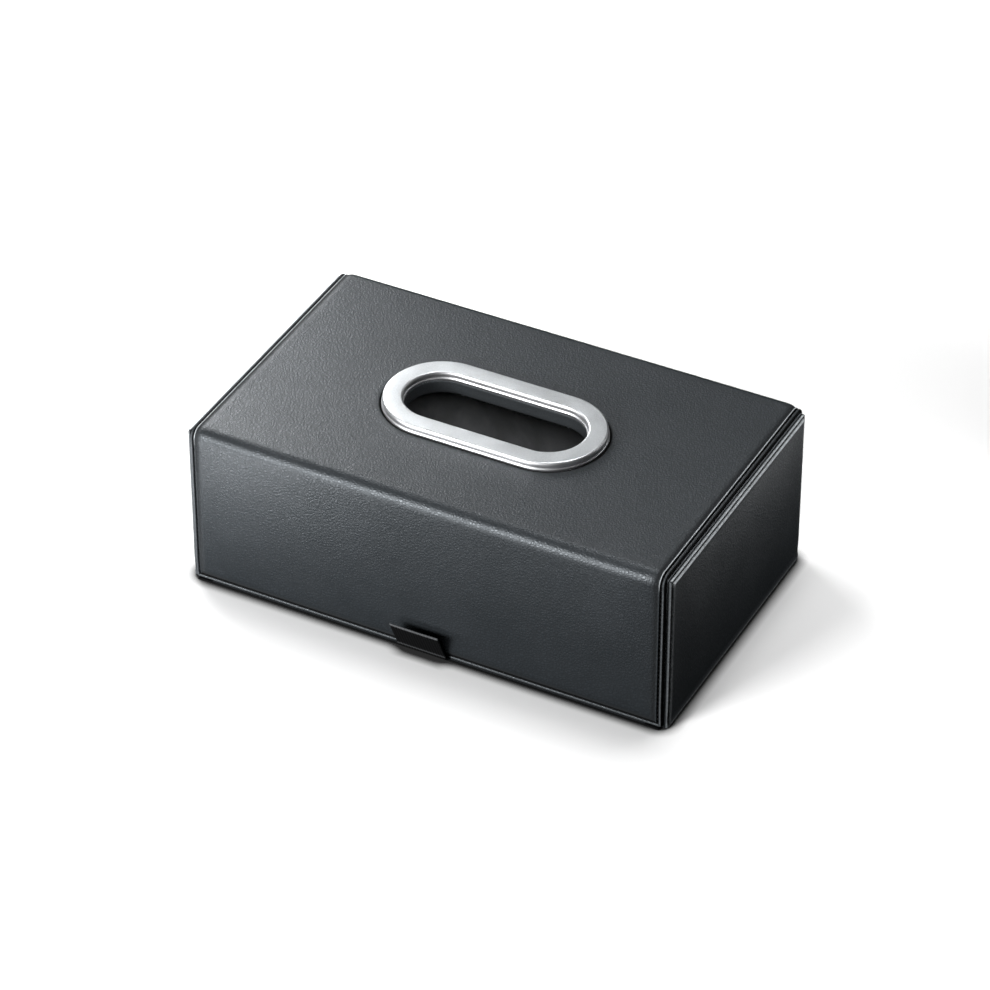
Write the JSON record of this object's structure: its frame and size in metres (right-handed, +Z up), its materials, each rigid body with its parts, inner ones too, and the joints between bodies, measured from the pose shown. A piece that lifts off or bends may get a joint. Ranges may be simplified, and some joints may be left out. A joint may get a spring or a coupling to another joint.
{
  "type": "car tissue holder",
  "caption": "Padded leather box that holds a pack of tissues, with a metal-rimmed oval slot in its top and a bottom flap opened by a pull tab.",
  "frame": {"origin": "centre of the flat underside, on the surface that the box stands on", "axes": "+X to the right along the box, -Y towards the front with the pull tab, +Z up through the slot"},
  "size_m": [0.2236, 0.1428, 0.0828],
  "materials": {
    "board": "raw fibreboard",
    "foam": "fine open foam",
    "leather": "fine grain, satin, dark grey",
    "inner_leather": "fine grain, black",
    "tab_leather": "faint ribs, black",
    "lining": "flocked cloth, black",
    "thread": "waxed thread, black",
    "ring_metal": "satin flat, polished sides",
    "steel": "zinc plated",
    "magnet_plating": "nickel plated"
  },
  "bodies": {
    "box": {"top_board": "board", "front_board": "board", "back_board": "board", "left_end_board": "board", "right_end_board": "board", "wrap_foam": "foam", "wrap_leather": "leather", "wrap_thread": "thread", "left_end_binding": "inner_leather", "right_end_binding": "inner_leather", "left_end_pad": "foam", "right_end_pad": "foam", "left_end_leather": "leather", "right_end_leather": "leather", "left_end_thread": "thread", "right_end_thread": "thread", "wall_lining": "lining", "top_lining": "lining", "slot_lining": "inner_leather", "slot_ring": "ring_metal", "ring_backplate": "steel", "ring_screws": "steel", "magnet_ledge": "board", "ledge_magnets": "magnet_plating", "hinge_strip": "leather"},
    "flap": {"flap_board": "board", "flap_leather": "leather", "flap_lining": "lining", "flap_magnets": "magnet_plating", "tab_tail": "tab_leather"},
    "tab": {"pull_tab": "tab_leather"}
  },
  "joints": [
    {"name": "flap_hinge", "type": "hinge", "parent": "box", "child": "flap", "pos_m": [0, 0.061, 0.0004], "axis": [1, 0, 0], "range_deg": [0, 140], "deforming": ["hinge_strip"]},
    {"name": "tab_fold", "type": "hinge", "parent": "flap", "child": "tab", "pos_m": [0, -0.06725, 0.0013], "axis": [1, 0, 0], "range_deg": [-8, 65], "stiffness_Nm_per_rad": 0.0006}
  ]
}
